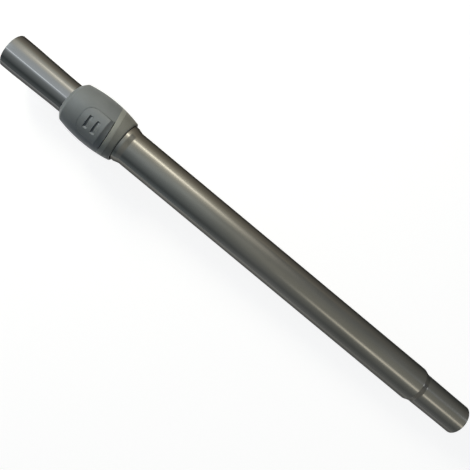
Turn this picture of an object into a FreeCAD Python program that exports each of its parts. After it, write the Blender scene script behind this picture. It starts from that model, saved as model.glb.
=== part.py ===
"""A telescopic vacuum-cleaner wand: two chromed tubes, a grey grip collar and a rocking latch button.

The tube axis is X, from the spigot's end face at the origin to the hose socket. The button faces +Z.
"""
import FreeCAD
import Part
import Sketcher
import math
import os
import re
from FreeCAD import Vector

# Driving dimensions, in millimetres; angles are in degrees.
SIZES = {
    # Outer tube
    "tube_wall": 0.8,
    "spigot_length": 52.0,
    "spigot_land": 16.0,
    "spigot_radius": 15.9,
    "spigot_taper": 0.4,
    "shoulder_length": 6.0,
    "outer_radius": 18.4,
    "outer_length": 364.5,
    "flare_length": 5.5,
    "mouth_step": 1.7,
    "mouth_length": 18.0,
    "bend_radius": 4.0,
    # Inner tube, its notches and its key groove
    "tube_gap": 0.8,
    "tail_gap": 16.2,
    "socket_reach": 73.3,
    "socket_step": 1.0,
    "socket_land": 14.0,
    "socket_cone": 46.0,
    "notch_steps": 12,
    "notch_length": 5.2,
    "notch_width": 7.2,
    "notch_depth": 1.5,
    "groove_width": 3.0,
    "groove_depth": 0.8,
    # Rings on the inner tube's hidden end
    "bush_length": 10.0,
    "bush_lip": 1.2,
    "seal_length": 5.0,
    "stop_length": 8.0,
    "stop_play": 0.6,
    "ring_gap": 0.15,
    # Guide sleeve
    "sleeve_wall": 1.6,
    "sleeve_inset": 1.0,
    "sleeve_setback": 7.2,
    "flange_width": 1.6,
    "slide_gap": 0.2,
    "seat_gap": 0.1,
    # Collar
    "collar_gap": 3.5,
    "collar_length": 63.4,
    "crown_ratio": 0.4653,
    "barrel_drop": 3.34,
    "shell_depth": 3.8,
    "tongue_wall": 1.7,
    "tongue_reach": 1.4,
    "cavity_setback": 12.7,
    "seat_setback": 9.7,
    "nose_length": 4.4,
    "nose_arc": 24.0,
    "nose_lip": 1.8,
    "nose_gap": 0.6,
    "undercut_rise": 1.2,
    "undercut_depth": 2.2,
    "seam_place": 12.2,
    "seam_angle": 16.0,
    "band_width": 5.1,
    "bearing_length": 3.2,
    # Button, lever and latch
    "pad_place": 10.2,
    "pad_setback": 21.4,
    "pad_width": 29.0,
    "pad_corner": 10.0,
    "pad_depth": 2.4,
    "pad_proud": 1.4,
    "pad_bevel": 7.3,
    "pad_gap": 0.5,
    "rear_gap": 1.2,
    "pad_angle": 100.0,
    "slot_setback": 13.5,
    "slot_pitch": 8.7,
    "slot_length": 3.8,
    "slot_depth": 1.1,
    "slot_angle": 27.0,
    "pivot_setback": 30.2,
    "pivot_lift": 0.8,
    "pin_radius": 1.1,
    "pin_gap": 0.1,
    "hub_wall": 1.0,
    "lever_width": 9.6,
    "lever_depth": 2.0,
    "lever_setback": 13.1,
    "lever_lift": 0.6,
    "ear_width": 3.0,
    "ear_length": 6.0,
    "ear_height": 1.9,
    "side_gap": 0.4,
    "pawl_setback": 16.2,
    "pawl_length": 3.8,
    "pawl_width": 6.4,
    "pawl_chamfer": 0.6,
    "spring_place": 21.0,
    "spring_radius": 2.6,
    "spring_wire": 0.45,
    "spring_turns": 3,
    "seat_lift": 0.3,
    "boss_depth": 0.6,
}

# Places along the axis, radii and heights that follow from the driving dimensions.
DERIVED = {
    "inner_radius": "outer_radius - tube_wall - tube_gap",
    "inner_bore": "inner_radius - tube_wall",
    "socket_radius": "inner_radius + socket_step",
    "mouth_radius": "outer_radius + mouth_step",
    "ring_bore": "inner_radius + seat_gap / 2",
    "ring_radius": "outer_radius - tube_wall - ring_gap",
    "sleeve_bore": "inner_radius + slide_gap",
    "sleeve_radius": "sleeve_bore + sleeve_wall",
    "nose_radius": "inner_radius + nose_gap",
    "collar_bore": "mouth_radius + seat_gap",
    "tongue_radius": "collar_bore + tongue_wall",
    "cavity_radius": "tongue_radius + seat_gap",
    "crown_radius": "cavity_radius + shell_depth",
    "far_out": "2 * crown_radius",
    "tube_start": "spigot_length + shoulder_length",
    "flare_start": "tube_start + outer_length",
    "mouth_start": "flare_start + flare_length",
    "mouth_end": "mouth_start + mouth_length",
    "collar_start": "mouth_start + collar_gap",
    "collar_end": "collar_start + collar_length",
    "crown_place": "collar_start + collar_length * crown_ratio",
    "barrel_arc": "((collar_length * crown_ratio) ^ 2 + barrel_drop ^ 2) / (2 * barrel_drop)",
    "socket_end": "collar_end + socket_reach",
    "sleeve_start": "mouth_start + sleeve_inset",
    "sleeve_end": "collar_end - sleeve_setback",
    "flange_end": "mouth_end + flange_width",
    "bearing_end": "sleeve_end + bearing_length",
    "lip_start": "collar_end - nose_lip",
    "inner_start": "tube_start + tail_gap + bush_lip",
    "bush_end": "inner_start + bush_length",
    "seal_end": "bush_end + seal_length",
    "stop_end": "seal_end + stop_length",
    "notch_pitch": "(sleeve_start - stop_play - stop_end) / notch_steps",
    "notch_floor": "inner_radius - notch_depth",
    "groove_floor": "inner_radius - groove_depth",
    "pad_start": "collar_start + pad_place",
    "pad_crest": "pad_start + pad_bevel",
    "pad_end": "collar_end - pad_setback",
    "pad_under": "crown_radius - pad_depth",
    "pivot_place": "collar_end - pivot_setback",
    "pivot_height": "sleeve_radius + pivot_lift",
    "hub_radius": "pin_radius + hub_wall",
    "lever_under": "inner_radius + lever_lift",
    "lever_top": "lever_under + lever_depth",
    "lever_end": "collar_end - lever_setback",
    "ear_span": "lever_width + 2 * side_gap + 2 * ear_width",
    "pawl_place": "collar_end - pawl_setback",
    "coil_place": "collar_start + spring_place",
    "coil_seat": "sleeve_radius + seat_lift",
    "coil_top": "pad_under - boss_depth",
    "coil_room": "spring_radius + 2 * spring_wire",
}

# The button's hinge axis, seen from the side
PIVOT = ("pivot_place", "pivot_height")

doc = FreeCAD.newDocument("telescopic_wand")
sheet = doc.addObject("Spreadsheet::Sheet", "Sizes")
for row, (alias, size) in enumerate(SIZES.items(), 1):
    sheet.set(f"A{row}", alias)
    sheet.set(f"B{row}", str(size))
    sheet.setAlias(f"B{row}", alias)
doc.recompute()


def bound(expression):
    """The expression with every name written out in the sheet's cells."""
    def cell(word):
        name = word.group()
        return f"({bound(DERIVED[name])})" if name in DERIVED else f"Sizes.{name}"
    return re.sub(r"\b[a-z][a-z_]+\b(?!\()", cell, expression)


def number(expression):
    """The expression's present value."""
    return float(sheet.evalExpression(bound(expression)))


def barrel(place):
    """The collar's outer radius at a place along the axis."""
    return f"(crown_radius - barrel_arc + sqrt(barrel_arc ^ 2 - ({place} - crown_place) ^ 2))"


def seam(height, shift):
    """The place along the axis of the oblique seam's rear plane at a height, moved by a shift."""
    return f"(collar_start + seam_place - tan(seam_angle) * {height} + {shift})"


def pad_top(place):
    """The pad's top radius at a place: level with the barrel in front and proud of it at the crest."""
    rise = f"({barrel('pad_crest')} + pad_proud - {barrel('pad_end')})"
    return f"({barrel('pad_end')} + {rise} * (pad_end - {place}) / (pad_end - pad_crest))"


def box(left, bottom, right, top):
    """The corners of an upright rectangle."""
    return [(left, bottom), (right, bottom), (right, top), (left, top)]


def tube_section(stations):
    """The closed half section of a tube of even wall through outside stations."""
    return stations + [(place, f"{radius} - tube_wall") for place, radius in reversed(stations)]


def new_body(label):
    """An empty body whose label names the node."""
    body = doc.addObject("PartDesign::Body", label)
    body.Label = label
    return body


def new_sketch(body, name, role="XZ_Plane", lift=None, along=None):
    """A sketch on one of the body's origin planes, lifted off it or moved along its first axis."""
    sketch = body.newObject("Sketcher::SketchObject", f"{body.Name}_{name}")
    plane = [item for item in body.Origin.OriginFeatures if item.Role == role][0]
    sketch.AttachmentSupport = (plane, [""])
    sketch.MapMode = "FlatFace"
    if lift:
        sketch.setExpression("AttachmentOffset.Base.z", bound(lift))
    if along:
        sketch.setExpression("AttachmentOffset.Base.x", bound(along))
    return sketch


def pin_down(sketch, side, end, point):
    """Holds one end of a sketch line at a point given by two expressions."""
    for kind, axis, expression in zip(("DistanceX", "DistanceY"), (-2, -1), point):
        if expression == "0":
            sketch.addConstraint(Sketcher.Constraint("PointOnObject", side, end, axis))
            continue
        held = sketch.addConstraint(Sketcher.Constraint(kind, -1, 1, side, end, number(expression)))
        sketch.setExpression(f"Constraints[{held}]", bound(expression))


def hold_radius(sketch, side, radius):
    """Binds the radius of an arc or a circle."""
    held = sketch.addConstraint(Sketcher.Constraint("Radius", side, number(radius)))
    sketch.setExpression(f"Constraints[{held}]", bound(radius))


def add_arc(sketch, start, end, radius):
    """An arc that bulges to the right between two points, and which of its ends is the start."""
    half = (end - start).Length / 2
    along = (end - start).normalize()
    across = Vector(along.y, -along.x, 0)
    centre = (start + end) / 2 - across * math.sqrt(radius ** 2 - half ** 2)
    side = sketch.addGeometry(Part.Arc(start, centre + across * radius, end))
    first = sketch.Geometry[side].StartPoint
    return side, 1 if first.distanceToPoint(start) < first.distanceToPoint(end) else 2


def outline(sketch, points, arcs=None):
    """Adds a closed outline through points; arcs gives the radius of each side that is round."""
    arcs = arcs or {}
    corners = [Vector(number(x), number(y), 0) for x, y in points]
    sides = []
    for index, start in enumerate(corners):
        end = corners[(index + 1) % len(corners)]
        if index in arcs:
            sides.append(add_arc(sketch, start, end, number(arcs[index])))
        else:
            sides.append((sketch.addGeometry(Part.LineSegment(start, end)), 1))
    for index, (side, first) in enumerate(sides):
        following, start = sides[(index + 1) % len(sides)]
        sketch.addConstraint(Sketcher.Constraint("Coincident", side, 3 - first, following, start))
    for (side, first), point in zip(sides, points):
        pin_down(sketch, side, first, point)
    for index, radius in arcs.items():
        hold_radius(sketch, sides[index][0], radius)
    return sketch


def circle(sketch, point, radius):
    """Adds a circle to a sketch."""
    centre = Vector(number(point[0]), number(point[1]), 0)
    side = sketch.addGeometry(Part.Circle(centre, Vector(0, 0, 1), number(radius)))
    pin_down(sketch, side, 3, point)
    hold_radius(sketch, side, radius)
    return sketch


def settle(body, feature, cuts):
    """Recomputes a feature and makes sure that it added or took away material."""
    base = feature.BaseFeature
    feature.Refine = True
    doc.recompute()
    change = feature.Shape.Volume - (base.Shape.Volume if base else 0.0)
    if (change >= 0) == cuts:
        raise RuntimeError(f"{feature.Name} changed the volume by {change}")
    body.Tip = feature
    return feature


def turn(body, name, points, arcs=None, kind="Revolution", angle=None):
    """Turns a half section about the tube axis, all round or over an angle centred on the button."""
    sketch = outline(new_sketch(body, name + "_section"), points, arcs)
    feature = body.newObject("PartDesign::" + kind, f"{body.Name}_{name}")
    feature.Profile = sketch
    feature.ReferenceAxis = (sketch, ["H_Axis"])
    feature.Angle = 360
    if angle:
        feature.Midplane = True
        feature.setExpression("Angle", bound(angle) + " * 1 deg")
    return settle(body, feature, kind == "Groove")


def extrude(body, name, sketch, length, kind="Pad", both=False, back=False):
    """Pads or pockets a sketch by a length, on both sides of its plane or on the side asked for."""
    feature = body.newObject("PartDesign::" + kind, f"{body.Name}_{name}")
    feature.Profile = sketch
    feature.SideType = "Symmetric" if both else "One side"
    feature.Reversed = back
    feature.setExpression("Length", bound(length))
    return settle(body, feature, kind == "Pocket")


def slab(body, name, points, width, kind="Pad"):
    """A plate or a cut of an upright outline that lies evenly on both sides of the middle plane."""
    sketch = outline(new_sketch(body, name + "_section"), points)
    return extrude(body, name, sketch, width, kind, both=True)


def cut_along_seam(body, name, shift, side):
    """Cuts the body off along a plane parallel to the oblique seam; side is + to cut its front."""
    beyond = f"({seam('0', shift)} {side} 3 * far_out)"
    slab(body, name, [
        (seam("(-far_out)", shift), "-far_out"),
        (beyond, "-far_out"),
        (beyond, "far_out"),
        (seam("far_out", shift), "far_out"),
    ], "2 * far_out", "Pocket")


def round_edges(body, name, radius, places):
    """Rounds the edges that circle the axis at the given places along it."""
    base = body.Tip
    stations = [number(place) for place in places]
    names = []
    for index, edge in enumerate(base.Shape.Edges, 1):
        if not isinstance(edge.Curve, Part.Circle):
            continue
        if any(math.isclose(edge.Curve.Center.x, station, abs_tol=1e-4) for station in stations):
            names.append(f"Edge{index}")
    feature = body.newObject("PartDesign::Fillet", f"{body.Name}_{name}")
    feature.Base = (base, names)
    feature.setExpression("Radius", bound(radius))
    doc.recompute()
    body.Tip = feature


def row_of(body, name, features, pitch, count):
    """Repeats features along the tube axis, towards the spigot."""
    pattern = body.newObject("PartDesign::LinearPattern", f"{body.Name}_{name}")
    pattern.Originals = features
    axis = [item for item in body.Origin.OriginFeatures if item.Role == "X_Axis"][0]
    pattern.Direction = (axis, [""])
    pattern.Reversed = True
    pattern.setExpression("Occurrences", bound(count))
    pattern.setExpression("Length", bound(f"{pitch} * ({count} - 1)"))
    doc.recompute()
    body.Tip = pattern


def ring(label, start, end, inside, outside):
    """A plain ring about the axis."""
    turn(new_body(label), "ring", box(start, inside, end, outside))


def make_outer_tube():
    """Steel tube with a narrowed spigot, a straight run and a widened mouth."""
    body = new_body("outer_tube")
    turn(body, "wall", tube_section([
        ("0", "spigot_radius"),
        ("spigot_land", "spigot_radius"),
        ("spigot_length", "spigot_radius + spigot_taper"),
        ("tube_start", "outer_radius"),
        ("flare_start", "outer_radius"),
        ("mouth_start", "mouth_radius"),
        ("mouth_end", "mouth_radius"),
    ]))
    bends = ["spigot_length", "tube_start", "flare_start", "mouth_start"]
    round_edges(body, "bends", "bend_radius", bends)


def make_inner_tube():
    """Steel tube with a flared socket, a row of pressed notches above and a key groove below."""
    body = new_body("inner_tube")
    turn(body, "wall", tube_section([
        ("inner_start", "inner_radius"),
        ("socket_end - socket_land - socket_cone", "inner_radius"),
        ("socket_end - socket_land", "socket_radius"),
        ("socket_end", "socket_radius"),
    ]))
    bead_half = "(groove_width / 2 + tube_wall)"
    bead = new_sketch(body, "bead_section", "YZ_Plane", lift="inner_start")
    outline(bead, box(f"-{bead_half}", "-groove_floor - tube_wall / 3",
                      bead_half, "tube_wall - groove_floor"))
    extrude(body, "bead", bead, "sleeve_end - inner_start")
    groove = new_sketch(body, "groove_section", "YZ_Plane", lift="inner_start")
    outline(groove, box("-groove_width / 2", "-inner_radius - tube_wall",
                        "groove_width / 2", "-groove_floor"))
    extrude(body, "groove", groove, "sleeve_end - inner_start", "Pocket", back=True)
    rear = "pawl_place - notch_length / 2"
    front = "pawl_place + notch_length / 2"
    boss = slab(body, "boss", box(f"{rear} - tube_wall", "notch_floor - tube_wall",
                                  f"{front} + tube_wall", "inner_bore + tube_wall / 4"),
                "notch_width + 2 * tube_wall")
    notch = slab(body, "notch", box(rear, "notch_floor", front, "inner_radius + tube_wall"),
                 "notch_width", "Pocket")
    row_of(body, "notches", [boss, notch], "notch_pitch", "(notch_steps + 1)")


def make_end_rings():
    """Guide bush, air seal and end stop on the inner tube's hidden end."""
    body = new_body("end_bush")
    turn(body, "ring", [
        ("inner_start - bush_lip", "inner_bore + tube_wall / 8"),
        ("inner_start", "inner_bore + tube_wall / 8"),
        ("inner_start", "ring_bore"),
        ("bush_end", "ring_bore"),
        ("bush_end", "ring_radius"),
        ("inner_start - bush_lip", "ring_radius"),
    ])
    ring("seal_ring", "bush_end", "seal_end", "ring_bore", "ring_radius + seat_gap / 2")
    ring("stop_ring", "seal_end", "stop_end", "ring_bore", "ring_radius")


def make_guide_sleeve():
    """Sleeve in the tube's mouth, with a flange, pin ears, a spring seat, a lever slot and a key."""
    body = new_body("guide_sleeve")
    turn(body, "wall", [
        ("sleeve_start", "sleeve_bore"),
        ("sleeve_end", "sleeve_bore"),
        ("sleeve_end", "sleeve_radius"),
        ("flange_end", "sleeve_radius"),
        ("flange_end", "mouth_radius"),
        ("mouth_end", "mouth_radius"),
        ("mouth_end", "mouth_radius - tube_wall - seat_gap"),
        ("sleeve_start", "mouth_radius - tube_wall - seat_gap"),
    ])
    slab(body, "ears", box("pivot_place - ear_length / 2", "sleeve_radius - 1.4 * sleeve_wall",
                           "pivot_place + ear_length / 2", "pivot_height + ear_height"), "ear_span")
    slab(body, "lever_slot", box("pivot_place - ear_length / 2 - side_gap", "0",
                                 "lever_end + side_gap", "far_out"),
         "lever_width + 2 * side_gap", "Pocket")
    slab(body, "coil_seat", box("coil_place - coil_room", "sleeve_radius - sleeve_wall / 2",
                                "coil_place + coil_room", "coil_seat"), "2 * coil_room")
    pin_hole = circle(new_sketch(body, "pin_hole_section"), PIVOT, "pin_radius")
    extrude(body, "pin_hole", pin_hole, "far_out", "Pocket", both=True)
    slab(body, "key", box("flange_end", "sleeve_wall / 2 - sleeve_radius",
                          "sleeve_end - flange_width", "-groove_floor - slide_gap"),
         "groove_width - 2 * slide_gap")


def pad_outline(sketch, gap, rear):
    """The pad's outline from above, grown by a gap and run back to a rear edge."""
    front = f"pad_end + {gap}"
    side = f"(pad_width / 2 + {gap})"
    corner = f"(pad_corner + {gap})"
    return outline(sketch, [
        (rear, f"-{side}"),
        (f"{front} - {corner}", f"-{side}"),
        (front, f"{corner} - {side}"),
        (front, f"{side} - {corner}"),
        (f"{front} - {corner}", side),
        (rear, side),
    ], {1: corner, 3: corner})


def make_rear_ring():
    """Collar ring around the mouth, cut off obliquely, with a tongue that carries band and shell."""
    body = new_body("rear_ring")
    turn(body, "wall", [
        ("collar_start", "collar_bore + undercut_rise"),
        ("collar_start + undercut_depth", "collar_bore"),
        ("crown_place", "collar_bore"),
        ("crown_place", "crown_radius"),
        ("collar_start", barrel("collar_start")),
    ], {3: "barrel_arc"})
    cut_along_seam(body, "seam", "0", "+")
    turn(body, "tongue", box("collar_start + undercut_depth", "collar_bore",
                             "crown_place", "tongue_radius"))
    cut_along_seam(body, "tongue_end", "band_width + tongue_reach", "+")
    room = pad_outline(new_sketch(body, "pad_room_section", "XY_Plane"), "pad_gap", "pad_start")
    extrude(body, "pad_room", room, "far_out", "Pocket", back=True)


def make_trim_band():
    """Light band along the oblique seam."""
    body = new_body("trim_band")
    turn(body, "wall", [
        ("collar_start", "cavity_radius"),
        ("crown_place", "cavity_radius"),
        ("crown_place", "crown_radius"),
        ("collar_start", barrel("collar_start")),
    ], {2: "barrel_arc"})
    cut_along_seam(body, "rear", "0", "-")
    cut_along_seam(body, "front", "band_width", "+")


def make_collar_shell():
    """Hollow barrel with a rounded nose and the button's window."""
    body = new_body("collar_shell")
    nose_start = "(collar_end - nose_length)"
    turn(body, "wall", [
        ("collar_start", "cavity_radius"),
        ("collar_end - cavity_setback", "cavity_radius"),
        ("collar_end - seat_setback", "sleeve_radius + seat_gap"),
        ("lip_start", "sleeve_radius + seat_gap"),
        ("lip_start", "nose_radius"),
        ("collar_end", "nose_radius"),
        (nose_start, barrel(nose_start)),
        ("collar_start", barrel("collar_start")),
    ], {5: "nose_arc", 6: "barrel_arc"})
    cut_along_seam(body, "seam", "band_width", "-")
    window = pad_outline(new_sketch(body, "window_section", "XY_Plane"), "pad_gap", "collar_start")
    extrude(body, "window", window, "far_out", "Pocket", back=True)


def make_nose_rings():
    """Bearing ring and felt wiper in the collar's nose, in front of the sleeve."""
    bore = "inner_radius + slide_gap / 2"
    ring("front_bearing", "sleeve_end", "bearing_end", bore, "sleeve_radius")
    ring("wiper_ring", "bearing_end", "lip_start", bore, "sleeve_radius")


def make_latch_button():
    """Thumb pad with grip slots over a lever that rocks on the pin."""
    body = new_body("latch_button")
    turn(body, "pad", [
        ("pad_start", "pad_under"),
        ("pad_end", "pad_under"),
        ("pad_end", pad_top("pad_end")),
        ("pad_crest", pad_top("pad_crest")),
        ("pad_start", f"{barrel('pad_start')} - pad_proud / 2"),
    ], angle="pad_angle")
    trim = new_sketch(body, "trim_section", "XY_Plane")
    outline(trim, box("pad_start - pad_gap", "-far_out", "pad_end + pad_gap", "far_out"))
    pad_outline(trim, "0", "pad_start")
    extrude(body, "trim", trim, "far_out", "Pocket", back=True)
    cut_along_seam(body, "rear", "band_width + rear_gap", "-")
    for index, share in enumerate((-0.5, 0.5)):
        middle = f"(pad_end - slot_setback + slot_pitch * {share})"
        end = f"({middle} + slot_length / 2)"
        turn(body, f"slot_{index}", box(f"{middle} - slot_length / 2", f"{pad_top(end)} - slot_depth",
                                        end, "far_out"), kind="Groove", angle="slot_angle")
    slab(body, "web", box("pivot_place - hub_radius", "pivot_height", "pivot_place + hub_radius",
                          "pad_under + pad_depth / 2"), "lever_width")
    slab(body, "lever", box("pivot_place", "lever_under", "lever_end", "lever_top"), "lever_width")
    hub = circle(new_sketch(body, "hub_section"), PIVOT, "hub_radius")
    extrude(body, "hub", hub, "lever_width", both=True)
    bore = circle(new_sketch(body, "bore_section"), PIVOT, "pin_radius + pin_gap")
    extrude(body, "bore", bore, "2 * lever_width", "Pocket", both=True)
    boss = circle(new_sketch(body, "boss_section", "XY_Plane", lift="coil_top"), ("coil_place", "0"),
                  "spring_radius + spring_wire")
    extrude(body, "boss", boss, "boss_depth + pad_depth / 4")
    slab(body, "pawl_slot", box("pawl_place - pawl_length / 2", "0",
                                "pawl_place + pawl_length / 2", "far_out"), "pawl_width", "Pocket")


def make_latch_pawl():
    """Steel tooth that fills the lever's slot and reaches down into a notch."""
    rear = "pawl_place - pawl_length / 2"
    front = "pawl_place + pawl_length / 2"
    tip = "notch_floor + slide_gap"
    slab(new_body("latch_pawl"), "tooth", [
        (f"{rear} + pawl_chamfer", tip),
        (f"{front} - pawl_chamfer", tip),
        (front, f"{tip} + pawl_chamfer"),
        (front, "lever_top"),
        (rear, "lever_top"),
        (rear, f"{tip} + pawl_chamfer"),
    ], "pawl_width")


def make_pivot_pin():
    """Steel pin through both ears and the hub."""
    body = new_body("pivot_pin")
    section = circle(new_sketch(body, "section"), PIVOT, "pin_radius")
    extrude(body, "pin", section, "ear_span", both=True)


def make_return_spring():
    """Coil spring between the sleeve's seat and the pad's boss."""
    body = new_body("return_spring")
    wire = new_sketch(body, "wire_section", along="coil_place")
    circle(wire, ("spring_radius", "coil_seat + spring_wire / 2"), "spring_wire / 2")
    coil = body.newObject("PartDesign::AdditiveHelix", "return_spring_coil")
    coil.Profile = wire
    coil.ReferenceAxis = (wire, ["V_Axis"])
    coil.Mode = "height-turns-angle"
    coil.setExpression("Height", bound("coil_top - coil_seat - spring_wire"))
    coil.setExpression("Turns", bound("spring_turns"))
    settle(body, coil, False)


make_outer_tube()
make_inner_tube()
make_end_rings()
make_guide_sleeve()
make_rear_ring()
make_trim_band()
make_collar_shell()
make_nose_rings()
make_latch_button()
make_latch_pawl()
make_pivot_pin()
make_return_spring()
doc.recompute()

failed = [item.Name for item in doc.Objects if {"Invalid", "Error"} & set(item.State)]
bodies = [item for item in doc.Objects if item.TypeId == "PartDesign::Body"]
for body in bodies:
    if body.Shape.isNull() or not body.Shape.isValid() or len(body.Shape.Solids) != 1:
        failed.append(body.Label)
if failed:
    raise RuntimeError("not built: " + ", ".join(failed))
os.makedirs("parts", exist_ok=True)
for body in bodies:
    body.Shape.exportStep(f"parts/{body.Label}.step")
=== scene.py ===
"""Looks of a telescopic vacuum-cleaner wand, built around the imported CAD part.

The wand lies along X, from its spigot at the origin to its hose socket, and its button faces +Z.
Sizes of pieces are written in millimetres, as in the part's source, and become metres in the meshes.
"""

import math

import bmesh
import bpy
import numpy as np
from mathutils import Matrix, Vector


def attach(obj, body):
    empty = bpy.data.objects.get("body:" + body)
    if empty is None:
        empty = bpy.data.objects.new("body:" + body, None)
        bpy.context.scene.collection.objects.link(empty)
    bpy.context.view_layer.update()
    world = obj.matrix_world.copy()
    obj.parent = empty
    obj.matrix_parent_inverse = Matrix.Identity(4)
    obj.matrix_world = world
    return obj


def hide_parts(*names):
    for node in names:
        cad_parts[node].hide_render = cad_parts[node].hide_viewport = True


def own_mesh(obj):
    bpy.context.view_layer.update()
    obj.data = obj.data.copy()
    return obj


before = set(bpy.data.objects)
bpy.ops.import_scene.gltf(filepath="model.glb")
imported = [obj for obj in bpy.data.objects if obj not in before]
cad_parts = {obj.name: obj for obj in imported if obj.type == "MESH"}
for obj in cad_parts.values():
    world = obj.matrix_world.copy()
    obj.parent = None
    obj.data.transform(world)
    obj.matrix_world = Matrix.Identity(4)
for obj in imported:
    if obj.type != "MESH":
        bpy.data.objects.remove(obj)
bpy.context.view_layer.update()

MM = 0.001

# Stations along the axis and radii, in millimetres
SPIGOT_LAND, SPIGOT_END, TUBE_START = 16.0, 52.0, 58.0
FLARE_START, MOUTH_START, MOUTH_END = 422.5, 428.0, 446.0
SPIGOT_RADIUS, SPIGOT_ROOT, OUTER_RADIUS, MOUTH_RADIUS = 15.9, 16.3, 18.4, 20.1
WALL, LIP = 0.8, 0.3
BEND = 4.0
INNER_START, CONE_START, LAND_START, SOCKET_END = 75.4, 508.2, 554.2, 568.2
INNER_RADIUS, SOCKET_RADIUS = 16.8, 17.8
NOTCH_FIRST, NOTCH_PITCH, NOTCH_COUNT = 478.7, 27.5, 13
NOTCH_LENGTH, NOTCH_WIDTH, NOTCH_DEPTH, NOTCH_SOFTNESS = 5.2, 7.2, 1.5, 0.3
GROOVE_END, GROOVE_WIDTH, GROOVE_DEPTH, GROOVE_SOFTNESS, GROOVE_RUN_OUT = 487.7, 3.0, 0.8, 0.22, 1.2
COLLAR_START, NOSE_START, COLLAR_END = 431.5, 490.5, 494.9
CROWN_PLACE, CROWN_RADIUS, BARREL_ARC = 461.0, 25.8, 131.947
NOSE_RADIUS, NOSE_ARC, LIP_START = 17.4, 24.0, 493.1
NOSE_REACH, NOSE_LEAN = 0.6, 0.7
COLLAR_BORE, TONGUE_RADIUS, CAVITY_RADIUS, SEAT_RADIUS = 20.2, 21.9, 22.0, 18.7
CAVITY_END, SEAT_START = 482.2, 485.2
UNDERCUT_RADIUS, UNDERCUT_END = 21.4, 433.7
SEAM_SLOPE, SEAM_TURN = math.tan(math.radians(16.0)), math.radians(12.5)
SEAM_REAR, SEAM_FRONT, TONGUE_END, PAD_REAR = 444.7, 449.7, 451.1, 450.3
SEAM_EDGE = 0.25
PAD_START, PAD_CREST, PAD_END = 441.7, 448.4, 473.65
PAD_HALF, PAD_CORNER, PAD_GAP, PAD_UNDER = 14.65, 10.15, 0.12, 23.4
PAD_FRONT_RADIUS, PAD_CREST_RADIUS, PAD_HOLLOW, PAD_HOLLOW_REACH = 25.207, 26.653, 2.6, 2.5
SLOT_PLACES, SLOT_LENGTH, SLOT_DEPTH, SLOT_HALF_ANGLE = (455.65, 464.35), 4.3, 1.7, 15.0
PIVOT_PLACE, PIVOT_HEIGHT = 464.7, 19.4
COIL_PLACE, COIL_SEAT, COIL_TOP, COIL_RADIUS, COIL_WIRE, COIL_TURNS = 452.5, 18.9, 22.8, 2.6, 0.45, 3

# Columns of points round the turned pieces
TUBE_COLUMNS, COLLAR_COLUMNS = 192, 224


def barrel(place):
    """The collar's outer radius at a place along the axis."""
    return CROWN_RADIUS - BARREL_ARC + np.sqrt(BARREL_ARC ** 2 - (place - CROWN_PLACE) ** 2)


def on_axis(place, radius, angle):
    """Points about the wand's axis; the angle is 0 on the button's side and grows towards +Y."""
    place, radius, angle = np.broadcast_arrays(place, radius, angle)
    return np.stack([place, radius * np.sin(angle), radius * np.cos(angle)], axis=-1)


def full_turn(count):
    """Even angles once round."""
    return np.linspace(0, 2 * math.pi, count, endpoint=False)


def arc_points(x, y, radius, turns):
    """Points about a centre, at the given angles."""
    return [(x + radius * math.cos(turn), y + radius * math.sin(turn)) for turn in turns]


def rounded(corners, steps):
    """A closed outline through corners (x, r, rounding), with each corner's arc in a few steps."""
    side_share = 0.49
    outline = []
    for index, (x, r, rounding) in enumerate(corners):
        corner = np.array((x, r))
        before = np.array(corners[index - 1][:2]) - corner
        after = np.array(corners[(index + 1) % len(corners)][:2]) - corner
        room = side_share * min(np.linalg.norm(before), np.linalg.norm(after))
        before /= np.linalg.norm(before)
        after /= np.linalg.norm(after)
        half = math.acos(np.clip(before @ after, -1, 1)) / 2
        reach = min(rounding / math.tan(half), room)
        radius = reach * math.tan(half)
        middle = (before + after) / np.linalg.norm(before + after)
        centre = corner + middle * radius / math.sin(half)
        start = corner + before * reach - centre
        end = corner + after * reach - centre
        sweep = math.acos(np.clip(start @ end / radius ** 2, -1, 1))
        for step in range(steps + 1):
            share = step / steps
            mixed = start * math.sin((1 - share) * sweep) + end * math.sin(share * sweep)
            outline.append(centre + mixed / math.sin(sweep))
    return np.array(outline)


def add_object(name, data):
    """A new object in the scene."""
    made = bpy.data.objects.new(name, data)
    bpy.context.scene.collection.objects.link(made)
    return made


def add_piece(mesh):
    """A smooth-shaded piece with its mesh's name."""
    mesh.shade_smooth()
    return add_object(mesh.name, mesh)


def closed_mesh(name, points, faces):
    """A mesh of points in millimetres, with doubled points merged and all faces turned outwards."""
    mesh = bpy.data.meshes.new(name)
    mesh.from_pydata((points * MM).tolist(), [], faces)
    work = bmesh.new()
    work.from_mesh(mesh)
    bmesh.ops.remove_doubles(work, verts=work.verts, dist=1e-7)
    bmesh.ops.recalc_face_normals(work, faces=work.faces)
    work.to_mesh(mesh)
    work.free()
    return mesh


def skin(name, grid):
    """A closed mesh over a grid of points that joins up in both directions."""
    rows, columns, _ = grid.shape
    index = np.arange(rows * columns).reshape(rows, columns)
    right = np.roll(index, -1, axis=1)
    faces = np.stack([index, right, np.roll(right, -1, axis=0), np.roll(index, -1, axis=0)], axis=-1)
    return closed_mesh(name, grid.reshape(-1, 3), faces.reshape(-1, 4).tolist())


def turned(section, angles):
    """A grid of points from a section of (x, r) points, turned about the axis."""
    return on_axis(section[:, 0, None], section[:, 1, None], angles[None, :])


def plain_mesh(piece):
    """Turns a piece with modifiers into a plain mesh."""
    bpy.context.view_layer.update()
    evaluated = piece.evaluated_get(bpy.context.evaluated_depsgraph_get())
    made = bpy.data.meshes.new_from_object(evaluated)
    piece.modifiers.clear()
    piece.data = made


# Nodes and materials


def feed(tree, socket, value):
    """Links an output to an input, or sets the input to a number or colour."""
    if isinstance(value, bpy.types.NodeSocket):
        tree.links.new(value, socket)
    else:
        socket.default_value = value


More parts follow.
